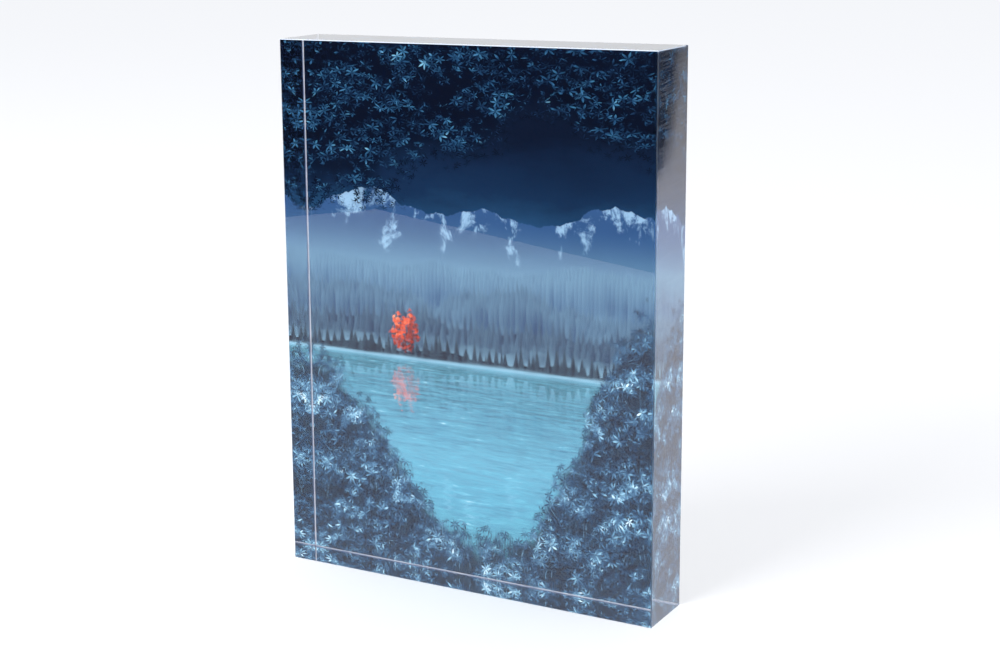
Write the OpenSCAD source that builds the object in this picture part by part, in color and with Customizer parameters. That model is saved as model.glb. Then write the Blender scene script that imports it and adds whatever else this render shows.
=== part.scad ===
// Free-standing acrylic photo block: a thick clear slab with a print bonded
// picture-side forward to its back, and a white backing film over the print.
// The slab stands on its bottom edge face. Millimetres, +Z up, front towards -Y,
// origin at the middle of the footprint.

/* [Acrylic block] */
// Width of the clear slab, side to side
block_w = 152.4; // [90:0.1:260]
// Height of the clear slab
block_h = 203.2; // [120:0.1:360]
// Thickness of the clear slab
block_t = 25.4; // [12:0.1:50]
// Leg of the 45 degree bevel that eases every edge of the slab
arris = 0.3; // [0.2:0.05:2]

/* [Laminate] */
// Thickness of the clear adhesive film that holds the print to the slab
optical_film_t = 0.1; // [0.05:0.01:0.3]
// Thickness of the photographic print
print_t = 0.25; // [0.15:0.01:0.6]
// Thickness of the adhesive film behind the print
backing_adhesive_t = 0.1; // [0.05:0.01:0.3]
// Thickness of the white backing film
backing_t = 0.3; // [0.1:0.01:2]
// How far the trimmed laminate stops short of the slab's bevels
laminate_trim = 0.1; // [0:0.01:1]

/* [Hidden] */

laminate_t = optical_film_t + print_t + backing_adhesive_t + backing_t;
total_t = block_t + laminate_t;

// Depths of the faces that the pieces share, from front to back
front_y = -total_t / 2;
block_back_y = front_y + block_t;
print_front_y = block_back_y + optical_film_t;
print_back_y = print_front_y + print_t;
backing_front_y = print_back_y + backing_adhesive_t;

// Every sheet of the laminate is trimmed to this size in one cut
sheet_w = block_w - 2 * (arris + laminate_trim);
sheet_h = block_h - 2 * (arris + laminate_trim);

// Rectangle centred on the origin, with its four corners cut at 45 degrees
module bevelled_rectangle(w, h, bevel) {
    x = w / 2;
    y = h / 2;
    polygon([
        [-x + bevel, -y], [x - bevel, -y],
        [x, -y + bevel], [x, y - bevel],
        [x - bevel, y], [-x + bevel, y],
        [-x, y - bevel], [-x, -y + bevel],
    ]);
}

// Box centred on the origin with all twelve edges bevelled and its corners mitred:
// what three bevelled bars, one along each axis, have in common
module arrised_box(w, t, h, bevel) {
    intersection() {
        linear_extrude(h, center = true)
            bevelled_rectangle(w, t, bevel);
        rotate([90, 0, 0])
            linear_extrude(t, center = true)
                bevelled_rectangle(w, h, bevel);
        rotate([90, 0, 90])
            linear_extrude(w, center = true)
                bevelled_rectangle(t, h, bevel);
    }
}

// One flat sheet of the laminate, with its front face at depth y
module laminate_sheet(y, t) {
    translate([-sheet_w / 2, y, (block_h - sheet_h) / 2])
        cube([sheet_w, t, sheet_h]);
}

module acrylic_block() {
    color([0.82, 0.90, 0.95, 0.35])
        translate([0, front_y + block_t / 2, block_h / 2])
            arrised_box(block_w, block_t, block_h, arris);
}

module optical_adhesive() {
    color([0.90, 0.94, 0.96, 0.30])
        laminate_sheet(block_back_y, optical_film_t);
}

module photo_print() {
    color([0.24, 0.42, 0.55])
        laminate_sheet(print_front_y, print_t);
}

module backing_adhesive() {
    color([0.86, 0.86, 0.82, 0.60])
        laminate_sheet(print_back_y, backing_adhesive_t);
}

module backing_film() {
    color([0.94, 0.94, 0.93])
        laminate_sheet(backing_front_y, backing_t);
}

acrylic_block();
optical_adhesive();
photo_print();
backing_adhesive();
backing_film();
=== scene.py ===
import functools
import math

import bpy
from mathutils import Matrix, Vector


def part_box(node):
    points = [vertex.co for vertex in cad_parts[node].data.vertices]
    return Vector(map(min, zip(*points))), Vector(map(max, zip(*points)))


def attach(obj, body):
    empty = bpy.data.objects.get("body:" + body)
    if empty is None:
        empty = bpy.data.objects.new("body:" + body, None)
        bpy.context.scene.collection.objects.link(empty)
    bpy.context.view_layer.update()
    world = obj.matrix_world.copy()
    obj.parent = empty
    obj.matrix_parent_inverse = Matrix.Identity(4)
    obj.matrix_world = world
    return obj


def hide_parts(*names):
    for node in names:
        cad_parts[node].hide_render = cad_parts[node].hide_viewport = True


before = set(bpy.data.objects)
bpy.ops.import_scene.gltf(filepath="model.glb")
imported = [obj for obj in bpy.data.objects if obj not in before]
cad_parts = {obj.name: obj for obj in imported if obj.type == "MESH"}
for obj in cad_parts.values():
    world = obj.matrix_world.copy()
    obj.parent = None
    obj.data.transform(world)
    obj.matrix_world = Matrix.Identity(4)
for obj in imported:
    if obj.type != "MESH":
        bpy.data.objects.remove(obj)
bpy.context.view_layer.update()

MM = 0.001

# Camera: to the right of the block, a little above it, looking down and to the left
CAMERA_PLACE = (0.32304, -0.58196, 0.25428)
CAMERA_YAW = 30.866
CAMERA_PITCH = -12.183
CAMERA_ROLL = -0.840
FOCAL_LENGTH = 66.72
SENSOR_WIDTH = 36.0
LENS_SHIFT = (0.080, -0.037)

# Cast acrylic
ACRYLIC_INDEX = 1.49
ACRYLIC_TINT = (0.985, 0.992, 1.0, 1.0)

# The bevels are scraped, not polished. A haze is a share of light that is scattered.
BEVEL_ROUGHNESS = 0.35
BEVEL_HAZE = 0.06
# The top bevels scatter most of their light as white, which stands in for the reflection of the light above:
# a painted highlight
TOP_BEVEL_HIGHLIGHT_HAZE = 0.8
SCRAPED_AND_HIGHLIGHT_WHITE = (0.72, 0.8, 0.93, 1.0)
# The rim round the laminate, with the rear bevels, scatters a dark grey, here more and there less: painted
# shade that dims the seam lines of the rear bevels
RIM_HAZE = 0.45
RIM_HAZE_SWING = 0.6
SEAM_SHADE_GREY = (0.045, 0.08, 0.17, 1.0)
# The right side keeps faint strokes of the cutter, which rise to the rear and change slowly along their way
STROKE_SIZE = 0.8 * MM
STROKE_RISE = 0.1
STROKE_CHANGE = 0.03
STROKE_DEPTH = 0.002 * MM
STROKE_HAZE = 0.055
STROKE_ROUGHNESS = 0.05
# Wear on the four cut edges
WEAR_SIZE = 9 * MM
WEAR_ROUGHNESS = 0.03

# A face is flat, and not a bevel, where the largest part of its normal is over this
FLAT = 0.9
# How far from the slab's back and from its top the rear bevels and the top bevels surely end
REAR_REACH = 2 * MM
TOP_REACH = 0.5 * MM
# What is left between the clear film's faces and the solids that it bonds
FILM_CLEARANCE = 0.02 * MM
# How near the slab's back a point counts as on it
BACK_MARGIN = 0.01 * MM
# The thin air gap under the block, which lets its bottom face mirror the print
FLOOR_CLEARANCE = 0.15 * MM

# Grain of the sheets behind the slab
ADHESIVE_GRAIN = 0.4 * MM
BACKING_ADHESIVE_GRAIN = 0.3 * MM
BACKING_GRAIN = 0.25 * MM
BACKING_GRAIN_DEPTH = 0.02 * MM
BACKING_CLOUD = 30 * MM

# The studio, in metres. The floor is brighter in mirrors than the white that the camera shows of it. The
# walls show only in mirrors.
FLOOR_REACH = 60.0
FLOOR_COLOUR = (0.9, 0.905, 0.92, 1.0)
GLOW_COLOUR = (1.0, 0.97, 1.0, 1.0)
FRONT_MIRROR_LEVEL = 1.25
SIDE_MIRROR_LEVEL = 1.58
# The floor goes from the first level to the second between these two depths
MIRROR_CHANGE = (-0.1, 0.0)
DARK_MIRROR_LEVEL = 0.02
DARK_WALL_CORNERS = ((-0.836, -0.244), (-0.488, -0.733), (1.5, 0.17))
DARK_WALL_HEIGHT = 1.6
SIDE_WALL_ENDS = ((0.3, 0.918), (0.7, 0.918))
SIDE_WALL_HEIGHT = 0.6
# The side wall's dark part: its level, the place across where it starts, how it flares out towards the
# floor, and the width of its soft edge
SHADE_LEVEL = 0.1
SHADE_EDGE = 0.458
SHADE_FLARE = 0.00058
SHADE_FLARE_FOOT = 0.017
SHADE_SOFTNESS = 1 / 85.0
# How fast the side wall's light part dims with height
SIDE_WALL_FADE = 4.8
BACKDROP_COLOUR = (0.93, 0.93, 0.97, 1.0)
AMBIENT_COLOUR = (0.97, 0.98, 1.0, 1.0)
AMBIENT_LEVEL = 1.03
KEY_PLACE = (-0.8, -1.5, 0.6)
KEY_TARGET = (0.0, 0.0, 0.1)
KEY_SIZE = 1.4
KEY_POWER = 35.0

_, block_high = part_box("acrylic_block")
film_low, film_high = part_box("optical_adhesive")
print_low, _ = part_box("photo_print")


class Signal:
    """An output of a node tree, so that node maths reads like a formula."""

    def __init__(self, tree, socket):
        self.tree = tree
        self.socket = socket

    def maths(self, operation, *others):
        node = self.tree.nodes.new("ShaderNodeMath")
        node.operation = operation
        for slot, value in zip(node.inputs, (self, *others)):
            plug(slot, value)
        return Signal(self.tree, node.outputs[0])

    def __add__(self, other):
        return self.maths("ADD", other)

    def __radd__(self, other):
        return self.maths("ADD", other)

    def __sub__(self, other):
        return self.maths("SUBTRACT", other)

    def __rsub__(self, other):
        return constant(self.tree, other).maths("SUBTRACT", self)

    def __mul__(self, other):
        return self.maths("MULTIPLY", other)

    def __truediv__(self, other):
        return self.maths("DIVIDE", other)

    def __abs__(self):
        return self.maths("ABSOLUTE")

    def least(self, other):
        return self.maths("MINIMUM", other)

    def most(self, other):
        return self.maths("MAXIMUM", other)

    def above(self, limit):
        return self.maths("GREATER_THAN", limit)

    def below(self, limit):
        return self.maths("LESS_THAN", limit)

    def fraction(self):
        return self.maths("FRACT")

    def power(self, exponent):
        return self.maths("POWER", exponent)

    def sine(self):
        return self.maths("SINE")

    def smooth(self, low, high):
        """Rises smoothly from 0 at low to 1 at high, or falls if low is over high."""
        node = self.tree.nodes.new("ShaderNodeMapRange")
        node.interpolation_type = "SMOOTHSTEP"
        rising = low < high
        bounds = (low, high, 0.0, 1.0) if rising else (high, low, 1.0, 0.0)
        for slot, value in zip(node.inputs, (self, *bounds)):
            plug(slot, value)
        return Signal(self.tree, node.outputs[0])


def plug(slot, value):
    """Sets an input to a number or a colour, or links it to a signal."""
    if isinstance(value, Signal):
        value.tree.links.new(value.socket, slot)
    else:
        slot.default_value = value


def constant(tree, number):
    node = tree.nodes.new("ShaderNodeValue")
    node.outputs[0].default_value = number
    return Signal(tree, node.outputs[0])


def vector(tree, x=0.0, y=0.0, z=0.0):
    node = tree.nodes.new("ShaderNodeCombineXYZ")
    for slot, value in zip(node.inputs, (x, y, z)):
        plug(slot, value)
    return Signal(tree, node.outputs[0])


def parts_of(signal):
    """The three numbers of a vector or of a colour."""
    is_colour = signal.socket.type == "RGBA"
    node = signal.tree.nodes.new("ShaderNodeSeparateColor" if is_colour else "ShaderNodeSeparateXYZ")
    plug(node.inputs[0], signal)
    return [Signal(signal.tree, output) for output in node.outputs]


def noise(place, size, detail=2.0, roughness=0.5, distortion=0.0):
    """Smooth noise from 0 to 1 whose features are about size across."""
    node = place.tree.nodes.new("ShaderNodeTexNoise")
    plug(node.inputs["Vector"], place)
    node.inputs["Scale"].default_value = 1.0 / size
    node.inputs["Detail"].default_value = detail
    node.inputs["Roughness"].default_value = roughness
    node.inputs["Distortion"].default_value = distortion
    return Signal(place.tree, node.outputs[0])


def mixed(first, second, share):
    """The colour first, turned to second as share goes from 0 to 1."""
    tree = share.tree
    node = tree.nodes.new("ShaderNodeMix")
    node.data_type = "RGBA"
    colours = [s for s in node.inputs if s.type == "RGBA"]
    plug(node.inputs[0], share)
    plug(colours[0], first)
    plug(colours[1], second)
    return Signal(tree, next(s for s in node.outputs if s.type == "RGBA"))


def colour(red, green, blue):
    """A colour given as shown on a screen, 0 to 255, as the shaders want it."""
    def linear(level):
        level /= 255
        return level / 12.92 if level <= 0.04045 else ((level + 0.055) / 1.055) ** 2.4
    return (linear(red), linear(green), linear(blue), 1.0)


def grouped(build):
    """Makes a function of signals build its nodes in a node group, so that no tree grows large."""
    kinds = {"VALUE": "NodeSocketFloat", "VECTOR": "NodeSocketVector", "RGBA": "NodeSocketColor"}

    def add_sockets(group, direction, signals):
        for number, signal in enumerate(signals):
            group.interface.new_socket(
                f"{direction.title()} {number + 1}", in_out=direction, socket_type=kinds[signal.socket.type]
            )

    @functools.wraps(build)
    def use(*values, **settings):
        given = [value for value in values if isinstance(value, Signal)]
        group = bpy.data.node_groups.new(build.__name__, "ShaderNodeTree")
        add_sockets(group, "INPUT", given)
        entry = group.nodes.new("NodeGroupInput")
        inside = iter([Signal(group, socket) for socket in entry.outputs])
        results = build(*[next(inside) if value in given else value for value in values], **settings)
        single = isinstance(results, Signal)
        results = [results] if single else results
        add_sockets(group, "OUTPUT", results)
        end = group.nodes.new("NodeGroupOutput")
        for slot, result in zip(end.inputs, results):
            plug(slot, result)
        tree = given[0].tree
        node = tree.nodes.new("ShaderNodeGroup")
        node.node_tree = group
        for slot, value in zip(node.inputs, given):
            plug(slot, value)
        answers = [Signal(tree, socket) for socket in node.outputs]
        return answers[0] if single else answers

    return use


def new_material(name):
    """A material with an empty tree, its output node and the place on the object, in metres."""
    material = bpy.data.materials.new(name)
    material.use_nodes = True
    tree = material.node_tree
    tree.nodes.clear()
    output = tree.nodes.new("ShaderNodeOutputMaterial")
    place = tree.nodes.new("ShaderNodeTexCoord").outputs["Object"]
    return material, tree, output, Signal(tree, place)


def principled(tree, **settings):
    """A Principled shader with its inputs set by name, with _ for a space."""
    node = tree.nodes.new("ShaderNodeBsdfPrincipled")
    for name, value in settings.items():
        plug(node.inputs[name.replace("_", " ")], value)
    return node


def bump(tree, height, strength, distance):
    node = tree.nodes.new("ShaderNodeBump")
    node.inputs["Strength"].default_value = strength
    node.inputs["Distance"].default_value = distance
    plug(node.inputs["Height"], height)
    return Signal(tree, node.outputs[0])


def lets_light_through(tree, shader, output):
    """Lamps and the light that surfaces give each other pass straight through the shader."""
    path = tree.nodes.new("ShaderNodeLightPath")
    passes = Signal(tree, path.outputs["Is Shadow Ray"]).most(
        Signal(tree, path.outputs["Is Diffuse Ray"])
    )
    open_way = tree.nodes.new("ShaderNodeBsdfTransparent")
    mix = tree.nodes.new("ShaderNodeMixShader")
    plug(mix.inputs[0], passes)
    tree.links.new(shader.outputs[0], mix.inputs[1])
    tree.links.new(open_way.outputs[0], mix.inputs[2])
    tree.links.new(mix.outputs[0], output.inputs[0])


def clear_acrylic():
    """Polished slab. Its back face bends no light where the print is bonded to it."""
    material, tree, output, place = new_material("clear_acrylic")
    x, y, z = parts_of(place)
    bonded = (
        y.above(block_high.y - BACK_MARGIN)
        * abs(x).below(film_high.x)
        * z.above(film_low.z)
        * z.below(film_high.z)
    )
    index = constant(tree, ACRYLIC_INDEX) - bonded * (ACRYLIC_INDEX - 1.0)
    normal = Signal(tree, place.socket.node.outputs["Normal"])
    sideways, depthways, upright = (abs(part) for part in parts_of(normal))
    bevel = sideways.most(depthways).most(upright).below(FLAT)
    cut_edge = sideways.most(upright).above(FLAT)
    rim = y.above(block_high.y - REAR_REACH) * (1.0 - cut_edge) * (1.0 - bonded)
    top_bevel = bevel * (1.0 - rim) * z.above(block_high.z - TOP_REACH)
    right_side = sideways.above(FLAT) * x.above(0.0)
    strokes = vector(tree, z - y * STROKE_RISE, y * STROKE_CHANGE)
    marks = noise(strokes, STROKE_SIZE, detail=2.0, roughness=0.6)
    wear = noise(place, WEAR_SIZE, detail=3.0).smooth(0.4, 0.7)
    # Patches where the rim's painted shade is more and where it is less
    rim_shade_patches = noise(place, WEAR_SIZE, detail=5.0, roughness=0.65)
    roughness = (
        right_side * marks * STROKE_ROUGHNESS
        + cut_edge * wear * WEAR_ROUGHNESS
        + bevel * BEVEL_ROUGHNESS
    )
    polished = principled(
        tree,
        Base_Color=ACRYLIC_TINT,
        Roughness=roughness,
        IOR=index,
        Transmission_Weight=1.0,
        Normal=bump(tree, marks * right_side, 1.0, STROKE_DEPTH),
    )
    # The bevels' own scatter, with a painted highlight on the top bevels and painted shade on the rim
    haze = (
        bevel * BEVEL_HAZE
        + top_bevel * (TOP_BEVEL_HIGHLIGHT_HAZE - BEVEL_HAZE)
        + rim * (rim_shade_patches * RIM_HAZE_SWING + RIM_HAZE - BEVEL_HAZE)
        + right_side * marks.smooth(0.42, 0.68) * STROKE_HAZE
    )
    scraped_and_painted = tree.nodes.new("ShaderNodeBsdfDiffuse")
    # On the rim the scatter is a dark grey: painted shade that dims the rear seam lines
    plug(scraped_and_painted.inputs["Color"], mixed(SCRAPED_AND_HIGHLIGHT_WHITE, SEAM_SHADE_GREY, rim))
    shader = tree.nodes.new("ShaderNodeMixShader")
    plug(shader.inputs[0], haze)
    tree.links.new(polished.outputs[0], shader.inputs[1])
    tree.links.new(scraped_and_painted.outputs[0], shader.inputs[2])
    lets_light_through(tree, shader, output)
    return material


def clear_adhesive():
    """Clear film with a faint grain. The light that passes is a little less where the grain is."""
    material, tree, output, place = new_material("clear_adhesive")
    haze = noise(place, ADHESIVE_GRAIN).smooth(0.5, 0.9)
    clear = tree.nodes.new("ShaderNodeBsdfTransparent")
    plug(clear.inputs["Color"], mixed((0.995, 0.997, 1.0, 1.0), (0.96, 0.965, 0.97, 1.0), haze))
    tree.links.new(clear.outputs[0], output.inputs[0])
    return material


# The picture: a lake between wooded ridges at dusk, seen over the bushes of the near bank. Its places and
# sizes are in millimetres on the print, across from the middle and up from the lower edge.
NIGHT = colour(6, 11, 25)
NAVY = colour(13, 29, 50)
DUSK = colour(31, 64, 94)
SLATE = colour(70, 110, 140)
ICE = colour(128, 174, 196)
PALE = colour(206, 228, 240)
MIST = colour(116, 154, 174)
TEAL = colour(92, 162, 184)
SKY_TONES = (MIST, colour(80, 124, 154), colour(36, 72, 106), colour(17, 37, 63), colour(9, 18, 35))
BOUGH_TONES = (NIGHT, NIGHT, NAVY, DUSK, colour(58, 106, 138), colour(112, 162, 186))
BUSH_TONES = (NIGHT, NAVY, DUSK, SLATE, ICE, PALE)
REED_TONES = (colour(18, 33, 54), colour(46, 74, 100), colour(84, 122, 148), colour(130, 172, 196), PALE)
MAPLE_TONES = (colour(46, 16, 22), colour(130, 36, 26), colour(206, 76, 44), colour(246, 150, 100))

ROCK = colour(44, 72, 110)
SNOW = colour(146, 180, 206)
DEEP_WATER = colour(30, 84, 110)

WATERLINE = 82.0
SKY_HEIGHT = 92.0
PEAK_LEVEL = 62.0
PEAK_SWING = 48.0
PEAK_LENGTH = 42.0
SNOWLINE = 58.0
PEAK_FOG = (60.0, 22.0)
MAPLE_ACROSS = -33.0
MAPLE_FOOT = 2.0
MAPLE_SIZE = (6.5, 9.0)
BOUGH_LEVEL = 158.0
BOUGH_SWING = 16.0
BOUGH_RAGGED = 52.0
BANK_LEVEL = 15.0
BANK_RAGGED = 34.0
# How high the bank rises at the left and at the right, and between which places across
LEFT_RISE, LEFT_SLOPE = 62.0, (-4.0, -74.0)
RIGHT_RISE, RIGHT_SLOPE = 96.0, (10.0, 72.0)

# The wooded ridges from far to near: level, swing, length of the swells, size of the trees, seed, shade
# and share of fog
RIDGES = (
    (40.0, 14.0, 46.0, 1.3, 2.0, colour(40, 68, 104), 0.38),
    (27.0, 13.0, 38.0, 1.8, 3.0, colour(30, 54, 88), 0.22),
    (15.0, 10.0, 30.0, 2.6, 4.0, colour(20, 38, 68), 0.1),
    (3.0, 4.0, 22.0, 3.4, 5.0, colour(10, 22, 44), 0.0),
)
# The maple's layers: seed, size of the leaves and how far the layer reaches
MAPLE_LAYERS = ((21, 2.0, 1.0), (22, 1.6, 0.95), (23, 1.8, 0.85))
# The boughs' layers from back to front: seed, size of the leaves, where the layer starts, and its light
BOUGH_LAYERS = ((31, 3.0, -7.0, 0.42), (32, 4.2, -3.0, 0.6), (33, 3.4, 0.0, 0.78), (34, 4.8, 3.0, 0.95))
# The reeds' layers from back to front: seed, width and length of the blades, and light
REED_LAYERS = ((11, 1.1, 10.0, 0.6), (12, 1.5, 13.0, 0.8), (13, 1.3, 16.0, 1.0))
# The bushes' layers from back to front: seed, size and number of the leaves, where the layer starts, and
# its light
BUSH_LAYERS = (
    (5, 4.2, 8, -7.0, 0.6),
    (6, 5.0, 7, -4.0, 0.75),
    (7, 3.6, 8, 0.0, 0.85),
    (8, 4.8, 7, 4.0, 0.95),
    (9, 3.2, 6, 8.0, 1.05),
    (10, 5.6, 8, 14.0, 1.1),
)


def moved(spot, step):
    node = spot.tree.nodes.new("ShaderNodeVectorMath")
    node.operation = "ADD"
    plug(node.inputs[0], spot)
    plug(node.inputs[1], step)
    return Signal(spot.tree, node.outputs[0])


def after(picture, spot):
    """The same place, tied to the layers painted so far, so that the layers are worked out one by one."""
    node = spot.tree.nodes.new("ShaderNodeVectorMath")
    node.operation = "MULTIPLY_ADD"
    plug(node.inputs[0], picture)
    node.inputs[1].default_value = (1e-9, 1e-9, 1e-9)
    plug(node.inputs[2], spot)
    return Signal(spot.tree, node.outputs[0])


def stretched(spot, wide, high):
    """A place in units of wide across and high up."""
    node = spot.tree.nodes.new("ShaderNodeVectorMath")
    node.operation = "MULTIPLY"
    plug(node.inputs[0], spot)
    node.inputs[1].default_value = (1 / wide, 1 / high, 1.0)
    return Signal(spot.tree, node.outputs[0])


def turned(spot, angle):
    node = spot.tree.nodes.new("ShaderNodeVectorRotate")
    node.rotation_type = "Z_AXIS"
    plug(node.inputs["Vector"], spot)
    plug(node.inputs["Angle"], angle)
    return Signal(spot.tree, node.outputs[0])


def dice(spot):
    """Random numbers, as a colour, that stay the same wherever the place is the same."""
    node = spot.tree.nodes.new("ShaderNodeTexWhiteNoise")
    node.noise_dimensions = "2D"
    plug(node.inputs["Vector"], spot)
    return Signal(spot.tree, node.outputs["Color"])


def scattered(spot, wide, high, seed):
    """Points scattered about wide and high apart: the way to the nearest, and its three random numbers."""
    tree = spot.tree
    grid = moved(stretched(spot, wide, high), (seed * 7.31, seed * 3.77, 0.0))
    node = tree.nodes.new("ShaderNodeTexVoronoi")
    node.voronoi_dimensions = "2D"
    node.inputs["Scale"].default_value = 1.0
    node.inputs["Randomness"].default_value = 0.9
    plug(node.inputs["Vector"], grid)
    away = tree.nodes.new("ShaderNodeVectorMath")
    away.operation = "SUBTRACT"
    plug(away.inputs[0], grid)
    tree.links.new(node.outputs["Position"], away.inputs[1])
    offset = stretched(Signal(tree, away.outputs[0]), 1 / wide, 1 / high)
    return offset, parts_of(Signal(tree, node.outputs["Color"]))


def tones(level, palette):
    """A colour that runs evenly through a palette as level goes from 0 to 1."""
    node = level.tree.nodes.new("ShaderNodeValToRGB")
    stops = node.color_ramp.elements
    while len(stops) < len(palette):
        stops.new(0.5)
    for number, (stop, tone) in enumerate(zip(stops, palette)):
        stop.position = number / (len(palette) - 1)
        stop.color = tone
    plug(node.inputs[0], level)
    return Signal(level.tree, node.outputs[0])


@grouped
def whorl(spot, size, seed, leaves, slim=0.09, soft=0.04):
    """Star-shaped bunches of pointed leaves, one to a cell: their cover and a shade for each leaf."""
    offset, (turn, chance, tilt) = scattered(spot, size, size, seed)
    x, y, _ = parts_of(turned(offset, turn * 2 * math.pi))
    y = y * (1.0 + tilt * 0.9)
    reach = size * 0.66
    out = (x * x + y * y).power(0.5)
    around = y.maths("ARCTAN2", x) * (leaves / (2 * math.pi)) + chance * 5.0
    off_axis = abs(around.fraction() - 0.5) * (2 * math.pi / leaves) * out
    bulge = (out - reach * 0.5) * (1 / (reach * 0.52))
    half_width = (1.0 - bulge * bulge) * (size * slim)
    cover = (half_width - off_axis).smooth(0.0, size * soft)
    shade, _, _ = parts_of(dice(vector(spot.tree, around.maths("FLOOR"), chance * 97.0)))
    return cover, shade * 0.5 + chance * 0.3 + out * (0.3 / reach)


@grouped
def blades(spot, wide, long, seed, lean):
    """Tapering blades of grass: their cover and a shade that rises to the tip."""
    offset, (turn, chance, _) = scattered(spot, wide, long, seed)
    x, y, _ = parts_of(offset)
    rise = y * (1 / long) + 0.5
    bend = rise * rise * ((turn - 0.5) * long * 0.7 + lean)
    half_width = (1.0 - rise * 0.95) * (wide * 0.2)
    cover = (half_width - abs(x - bend)).smooth(0.0, wide * 0.08)
    return cover * rise.smooth(-0.1, 0.05), chance * 0.6 + rise * 0.4


@grouped
def relief(spot, size, seed):
    """Light from above left on heaps about size across, from 0 in the hollows to 1."""
    here = moved(spot, (seed * 11.0, seed * 5.0, 0.0))
    lit = moved(here, (size * 0.12, -size * 0.22, 0.0))
    return (noise(lit, size, 2.0) - noise(here, size, 2.0)) * 2.8 + 0.5


@grouped
def conifers(spot, base, size, seed):
    """A row of pointed trees that stand on a slope: their cover and a shade for each."""
    across, height, _ = parts_of(spot)
    place = across * (1 / size) + seed * 13.7
    cell = place.maths("FLOOR")
    shift, tall, tone = parts_of(dice(vector(spot.tree, cell, seed)))
    side = (place - cell - 0.5 - (shift - 0.5) * 0.6) * size
    rise = (height - base) / ((tall + 0.9) * size * 1.5)
    tier = (rise * 7.0 + tone * 5.0 + side * (0.5 / size)).fraction()
    half_width = (1.0 - rise) * (1.1 - tier * 0.5) * (size * 0.5)
    cover = (half_width - abs(side)).smooth(0.0, size * 0.1)
    light = tone * 0.3 - side * (0.5 / size) + (1.0 - tier) * 0.35 + rise * 0.3
    return cover.most(rise.smooth(0.05, 0.0)), light


@grouped
def ridge(picture, spot, level, swing, length, size, seed, dark, fog):
    """A wooded slope with rows of trees, fading into mist towards its foot."""
    for row in range(3):
        spot = after(picture, spot)
        across, height, _ = parts_of(spot)
        top = (noise(vector(spot.tree, across, seed * 100.0), length, 3.0) - 0.5) * (swing * 2) + level
        base = top - row * size * 1.3 + (noise(spot, size * 6, 1.0) - 0.5) * size * 2
        cover, light = conifers(spot, base, size * (1 + row * 0.12), seed * 3 + row)
        light = light * 0.8 + noise(spot, size * 0.4, 3.0) * 0.5 - 0.35
        picture = mixed(picture, mixed(dark, MIST, light * 0.35 + fog), cover)
    spot = after(picture, spot)
    _, height, _ = parts_of(spot)
    drift = (noise(stretched(spot, 3.0, 1.0), 7.0, 3.0) - 0.5) * level * 0.9
    return mixed(picture, MIST, (height + drift).smooth(level * 0.75, -level * 0.1) * 0.75)


@grouped
def heights(spot):
    """The sky, and a bare peak against it."""
    across, height, _ = parts_of(spot)
    cloud = noise(stretched(spot, 2.6, 1.0), 20.0, 5.0, 0.6) - 0.5
    sky = tones(height * (1 / SKY_HEIGHT) - cloud * 0.3, SKY_TONES)
    top = (noise(vector(spot.tree, across, 100.0), PEAK_LENGTH, 6.0) - 0.5) * PEAK_SWING + PEAK_LEVEL
    crags = noise(stretched(spot, 1.0, 1.6), 9.0, 6.0, 0.65, 0.4)
    snow = (crags + (height - SNOWLINE) * 0.006).smooth(0.5, 0.62)
    rock = mixed(ROCK, SNOW, snow * 0.7)
    rock = mixed(rock, MIST, height.smooth(*PEAK_FOG) * 0.85)
    return mixed(sky, rock, (top - height).smooth(0.0, 0.5))


@grouped
def maple(picture, spot):
    """A small tree with red leaves by the water, the one warm thing in the picture."""
    wide, high = MAPLE_SIZE
    for seed, size, edge in MAPLE_LAYERS:
        spot = after(picture, spot)
        across, height, _ = parts_of(spot)
        crown_x = (across - MAPLE_ACROSS) * (1 / wide)
        crown_y = (height - high - MAPLE_FOOT) * (1 / high)
        from_middle = (crown_x * crown_x + crown_y * crown_y).power(0.5)
        ragged = from_middle + (noise(spot, 4.0, 3.0) - 0.5) * 1.2
        cover, shade = whorl(spot, size, seed, leaves=5, slim=0.16)
        light = crown_y * 0.3 - crown_x * 0.2 + relief(spot, 4.0, seed) * 0.7 + shade * 0.4 - 0.15
        picture = mixed(picture, tones(light, MAPLE_TONES), cover * ragged.smooth(edge, edge - 0.12))
    return picture


def far_shore(spot):
    """What stands over the water: the sky, a bare peak, the wooded ridges and a red maple."""
    picture = heights(spot)
    for level, swing, length, size, seed, dark, fog in RIDGES:
        picture = ridge(picture, spot, level, swing, length, size, seed, dark, fog)
    return maple(picture, spot)


def lake(spot):
    """The far shore and its reflection, which the ripples break up and the water tints."""
    tree = spot.tree
    across, up, _ = parts_of(spot)
    depth = (WATERLINE - up).most(0.0)
    wet = up.smooth(WATERLINE + 0.2, WATERLINE - 0.2)
    swell = noise(vector(tree, across * 0.05, (depth + 2.0).power(0.6) * 4.5), 1.0, 3.0, 0.6) - 0.5
    ripple = noise(vector(tree, across * 0.22, (depth + 2.0).power(0.7) * 7.0), 1.0, 3.0, 0.6) - 0.5
    height = abs(up - WATERLINE) * 1.05 + (swell + ripple) * (depth * 0.5 + 1.0) * wet
    picture = far_shore(vector(tree, across + swell * depth * 0.25, height))
    tint = depth.smooth(0.0, 60.0) * 0.35 + (swell + ripple) * 0.9 + 0.42
    picture = mixed(picture, TEAL, wet * tint.most(0.0).least(0.92))
    picture = mixed(picture, DEEP_WATER, wet * (ripple - swell).smooth(0.08, 0.4) * 0.6)
    picture = mixed(picture, PALE, (ripple + swell).smooth(0.2, 0.42) * wet * 0.6)
    spot = after(picture, spot)
    shore = abs(up - WATERLINE - 0.3).smooth(0.9, 0.1) * noise(stretched(spot, 4.0, 1.0), 2.0, 2.0)
    return mixed(picture, ICE, shore)


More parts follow.
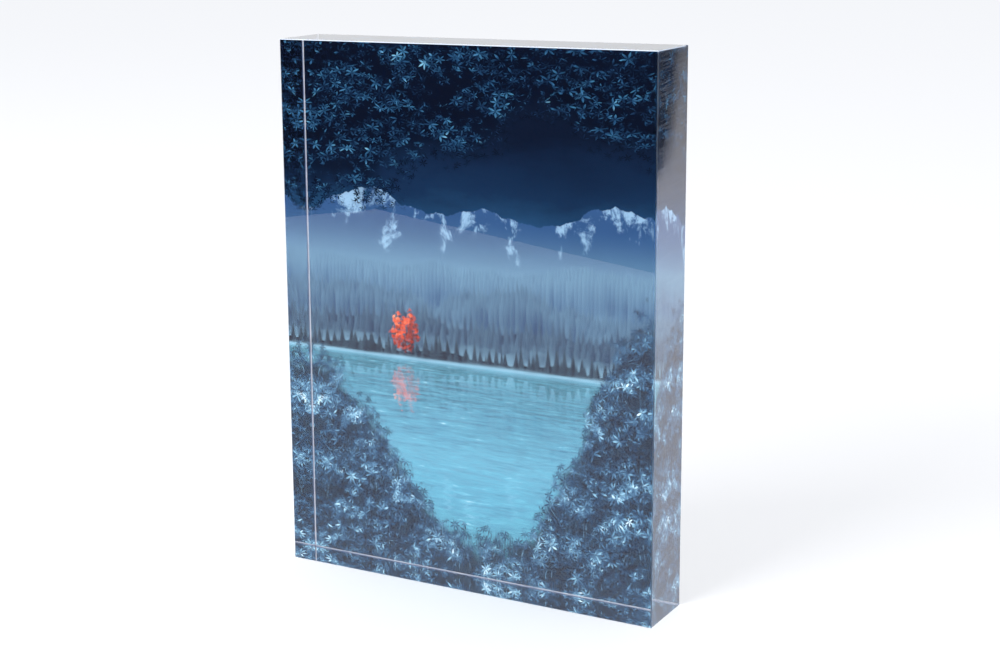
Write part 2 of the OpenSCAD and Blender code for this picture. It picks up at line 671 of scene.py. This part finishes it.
@grouped
def boughs(picture, spot):
    """Leafy boughs that hang into the top of the picture, mostly in shade."""
    across, up, _ = parts_of(spot)
    swell = (across * (1 / 30.0) + 0.8).sine() * BOUGH_SWING
    over = up - (swell + (noise(spot, 30.0, 3.0) - 0.5) * BOUGH_RAGGED + BOUGH_LEVEL)
    picture = mixed(picture, NIGHT, over.smooth(-2.0, 14.0) * 0.82)
    for seed, size, start, dim in BOUGH_LAYERS:
        spot = after(picture, spot)
        cover, shade = whorl(stretched(spot, 1.25, 0.85), size, seed, leaves=6, slim=0.1)
        tier = noise(stretched(spot, 1.6, 0.7), 15.0, 4.0, 0.6) + (noise(spot, 3.5, 3.0) - 0.5) * 0.5
        light = (relief(spot, 12.0, seed) * 0.6 + tier * 0.5 + shade * 0.6 - 0.35) * dim
        where = over.smooth(start, start + 3.0) * tier.smooth(0.4, 0.5)
        picture = mixed(picture, tones(light, BOUGH_TONES), cover * where)
    return picture


@grouped
def near_bank(picture, spot):
    """Bushes and reeds on the near bank, higher at both sides, lit by the sky."""
    across, up, _ = parts_of(spot)
    rise = across.smooth(*LEFT_SLOPE) * LEFT_RISE + across.smooth(*RIGHT_SLOPE) * RIGHT_RISE + BANK_LEVEL
    below = rise + (noise(spot, 16.0, 3.0) - 0.5) * BANK_RAGGED - up
    picture = mixed(picture, NAVY, below.smooth(-3.0, 7.0) * 0.95)
    for seed, wide, long, gain in REED_LAYERS:
        spot = after(picture, spot)
        leaned = turned(spot, (noise(spot, 24.0, 1.0) - 0.5) * 1.4)
        cover, shade = blades(leaned, wide, long, seed, lean=2.5 * (-1) ** seed)
        light = (shade * 0.8 + relief(spot, 14.0, seed) * 0.5 - 0.3) * gain
        picture = mixed(picture, tones(light, REED_TONES), cover * below.smooth(-6.0, 2.0) * 0.9)
    for seed, size, leaves, start, gain in BUSH_LAYERS:
        spot = after(picture, spot)
        cover, shade = whorl(spot, size, seed, leaves)
        heaps = relief(spot, 20.0, 5.0) * 0.55 + relief(spot, 7.0, seed) * 0.45
        where = (below + (noise(spot, 5.0, 3.0) - 0.5) * 16.0).smooth(start, start + 4.0)
        light = (heaps * 1.15 + shade * 0.55 + below.smooth(26.0, 0.0) * 0.2 - 0.5) * gain
        picture = mixed(picture, tones(light, BUSH_TONES), cover * where * heaps.smooth(0.2, 0.42))
    return picture


def landscape(place):
    """The colour of the picture at a place on the print."""
    x, _, z = parts_of(place)
    spot = vector(place.tree, x * (1 / MM), (z - print_low.z) * (1 / MM))
    picture = lake(spot)
    picture = boughs(picture, after(picture, spot))
    return near_bank(picture, after(picture, spot))


def photo_print():
    """The picture on matt paper. The bond leaves it no gloss of its own."""
    material, tree, output, place = new_material("photo_print")
    shader = principled(
        tree, Base_Color=landscape(place), Roughness=0.5, Specular_IOR_Level=0.0
    )
    tree.links.new(shader.outputs[0], output.inputs[0])
    return material


def backing_adhesive():
    """Milky film adhesive, which shows only at its thin edges."""
    material, tree, output, place = new_material("backing_adhesive")
    grain = noise(place, BACKING_ADHESIVE_GRAIN, detail=3.0)
    shader = principled(
        tree,
        Base_Color=mixed(colour(226, 224, 214), colour(236, 235, 228), grain),
        Roughness=0.45,
    )
    tree.links.new(shader.outputs[0], output.inputs[0])
    return material


def backing_film():
    """White film with a fine grain and a faint cloudiness."""
    material, tree, output, place = new_material("backing_film")
    grain = noise(place, BACKING_GRAIN, detail=3.0, roughness=0.6)
    cloud = noise(place, BACKING_CLOUD, detail=2.0)
    shader = principled(
        tree,
        Base_Color=mixed(colour(232, 232, 230), colour(242, 242, 241), grain * 0.6 + cloud * 0.4),
        Roughness=0.5 + grain * 0.1,
        Normal=bump(tree, grain, 0.25, BACKING_GRAIN_DEPTH),
    )
    tree.links.new(shader.outputs[0], output.inputs[0])
    return material


def box_mesh(name, low, high):
    """A closed box between two corners, as a new object."""
    corners = [(x, y, z) for x in (low.x, high.x) for y in (low.y, high.y) for z in (low.z, high.z)]
    sides = [(0, 1, 3, 2), (4, 6, 7, 5), (0, 4, 5, 1), (2, 3, 7, 6), (0, 2, 6, 4), (1, 5, 7, 3)]
    mesh = bpy.data.meshes.new(name)
    mesh.from_pydata(corners, [], sides)
    mesh.update()
    made = bpy.data.objects.new(name, mesh)
    bpy.context.scene.collection.objects.link(made)
    return made


def dress_pieces():
    """Gives each node its material, and the clear film a sheet that touches neither neighbour."""
    looks = {
        "acrylic_block": clear_acrylic(),
        "photo_print": photo_print(),
        "backing_adhesive": backing_adhesive(),
        "backing_film": backing_film(),
    }
    for node, material in looks.items():
        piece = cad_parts[node]
        piece.data.materials.clear()
        piece.data.materials.append(material)
    gap = Vector((0.0, FILM_CLEARANCE, 0.0))
    film = box_mesh("optical_adhesive_film", film_low + gap, film_high - gap)
    film.data.materials.append(clear_adhesive())
    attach(film, "root")
    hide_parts("optical_adhesive")


def add_camera():
    """A camera that turns left by the yaw, then tilts by the pitch, then rolls."""
    yaw, pitch, roll = (math.radians(a) for a in (CAMERA_YAW, CAMERA_PITCH, CAMERA_ROLL))
    forward = Vector((-math.sin(yaw) * math.cos(pitch), math.cos(yaw) * math.cos(pitch), math.sin(pitch)))
    level = Vector((math.cos(yaw), math.sin(yaw), 0.0))
    upright = level.cross(forward)
    right = level * math.cos(roll) + upright * math.sin(roll)
    up = upright * math.cos(roll) - level * math.sin(roll)
    turn = Matrix((right, up, -forward)).transposed()
    data = bpy.data.cameras.new("camera")
    data.sensor_width = SENSOR_WIDTH
    data.lens = FOCAL_LENGTH
    data.shift_x, data.shift_y = LENS_SHIFT
    data.clip_start = 0.01
    data.clip_end = 200.0
    camera = bpy.data.objects.new("camera", data)
    camera.matrix_world = Matrix.Translation(Vector(CAMERA_PLACE)) @ turn.to_4x4()
    bpy.context.scene.collection.objects.link(camera)
    bpy.context.scene.camera = camera


def stage_sheet(name, corners):
    """A flat piece of the studio, with an empty material: its object, tree, output and place."""
    mesh = bpy.data.meshes.new(name)
    mesh.from_pydata(corners, [], [(0, 1, 2, 3)])
    sheet = bpy.data.objects.new(name, mesh)
    bpy.context.scene.collection.objects.link(sheet)
    material, tree, output, place = new_material(name)
    mesh.materials.append(material)
    return sheet, tree, output, place


def glowing(tree, level):
    shader = tree.nodes.new("ShaderNodeEmission")
    shader.inputs["Color"].default_value = GLOW_COLOUR
    plug(shader.inputs["Strength"], level)
    return shader


def add_floor():
    """A pale sheet. It is bright enough in mirrors to veil the faces that it shows in."""
    square = ((-1, -1), (1, -1), (1, 1), (-1, 1))
    corners = [(x * FLOOR_REACH, y * FLOOR_REACH, -FLOOR_CLEARANCE) for x, y in square]
    _, tree, output, place = stage_sheet("floor", corners)
    _, y, _ = parts_of(place)
    sheet = tree.nodes.new("ShaderNodeBsdfDiffuse")
    sheet.inputs["Color"].default_value = FLOOR_COLOUR
    brighter = y.smooth(*MIRROR_CHANGE) * (SIDE_MIRROR_LEVEL - FRONT_MIRROR_LEVEL)
    mirrored = glowing(tree, brighter + FRONT_MIRROR_LEVEL)
    path = tree.nodes.new("ShaderNodeLightPath")
    mix = tree.nodes.new("ShaderNodeMixShader")
    tree.links.new(path.outputs["Is Glossy Ray"], mix.inputs[0])
    tree.links.new(sheet.outputs[0], mix.inputs[1])
    tree.links.new(mirrored.outputs[0], mix.inputs[2])
    tree.links.new(mix.outputs[0], output.inputs[0])


def mirror_wall(name, start, end, height):
    """An upright panel over a line on the floor, which only mirrors show: its tree, output and place."""
    (x0, y0), (x1, y1) = start, end
    corners = [(x0, y0, 0), (x1, y1, 0), (x1, y1, height), (x0, y0, height)]
    wall, tree, output, place = stage_sheet(name, corners)
    wall.visible_camera = False
    wall.visible_diffuse = False
    wall.visible_transmission = False
    wall.visible_shadow = False
    return tree, output, place


def add_dark_walls():
    """The unlit end of the studio, which the front face mirrors above the floor."""
    for name, start, end in zip(("dark_left_front", "dark_front"), DARK_WALL_CORNERS, DARK_WALL_CORNERS[1:]):
        tree, output, _ = mirror_wall(name, start, end, DARK_WALL_HEIGHT)
        glow = glowing(tree, DARK_MIRROR_LEVEL)
        tree.links.new(glow.outputs[0], output.inputs[0])


def add_side_wall():
    """What the side face mirrors behind the floor: dark to the right, and else dimmer with height."""
    tree, output, place = mirror_wall("side_wall", *SIDE_WALL_ENDS, SIDE_WALL_HEIGHT)
    x, _, z = parts_of(place)
    edge = (z + SHADE_FLARE_FOOT).power(-1.0) * SHADE_FLARE + SHADE_EDGE
    lit = ((edge - x) * (1 / SHADE_SOFTNESS) + 0.5).smooth(0.0, 1.0)
    light = lit * (1.0 - z * SIDE_WALL_FADE).most(0.0)
    glow = glowing(tree, light * (SIDE_MIRROR_LEVEL - SHADE_LEVEL) + SHADE_LEVEL)
    tree.links.new(glow.outputs[0], output.inputs[0])


def add_world():
    """Even light from all round, and a backdrop that only the camera sees."""
    world = bpy.data.worlds.new("studio")
    bpy.context.scene.world = world
    world.use_nodes = True
    tree = world.node_tree
    tree.nodes.clear()
    output = tree.nodes.new("ShaderNodeOutputWorld")
    seen = tree.nodes.new("ShaderNodeBackground")
    seen.inputs["Color"].default_value = BACKDROP_COLOUR
    light = tree.nodes.new("ShaderNodeBackground")
    light.inputs["Color"].default_value = AMBIENT_COLOUR
    light.inputs["Strength"].default_value = AMBIENT_LEVEL
    path = tree.nodes.new("ShaderNodeLightPath")
    mix = tree.nodes.new("ShaderNodeMixShader")
    tree.links.new(path.outputs["Is Camera Ray"], mix.inputs[0])
    tree.links.new(light.outputs[0], mix.inputs[1])
    tree.links.new(seen.outputs[0], mix.inputs[2])
    tree.links.new(mix.outputs[0], output.inputs[0])


def add_key_light():
    """A large soft lamp to the left of the camera."""
    data = bpy.data.lights.new("key", "AREA")
    data.shape = "SQUARE"
    data.size = KEY_SIZE
    data.energy = KEY_POWER
    lamp = bpy.data.objects.new("key", data)
    lamp.location = KEY_PLACE
    lamp.rotation_mode = "QUATERNION"
    lamp.rotation_quaternion = (Vector(KEY_PLACE) - Vector(KEY_TARGET)).to_track_quat("Z", "Y")
    lamp.visible_camera = False
    bpy.context.scene.collection.objects.link(lamp)


def set_render_looks():
    """Plain tones, and enough bounces for light that crosses the slab several times."""
    scene = bpy.context.scene
    scene.view_settings.view_transform = "Standard"
    scene.view_settings.look = "None"
    cycles = scene.cycles
    cycles.use_denoising = True
    cycles.max_bounces = 24
    cycles.transmission_bounces = 16
    cycles.glossy_bounces = 8
    cycles.diffuse_bounces = 4
    cycles.transparent_max_bounces = 16
    cycles.caustics_reflective = False
    cycles.caustics_refractive = False


set_render_looks()
add_camera()
add_floor()
add_world()
add_key_light()
add_dark_walls()
add_side_wall()
dress_pieces()
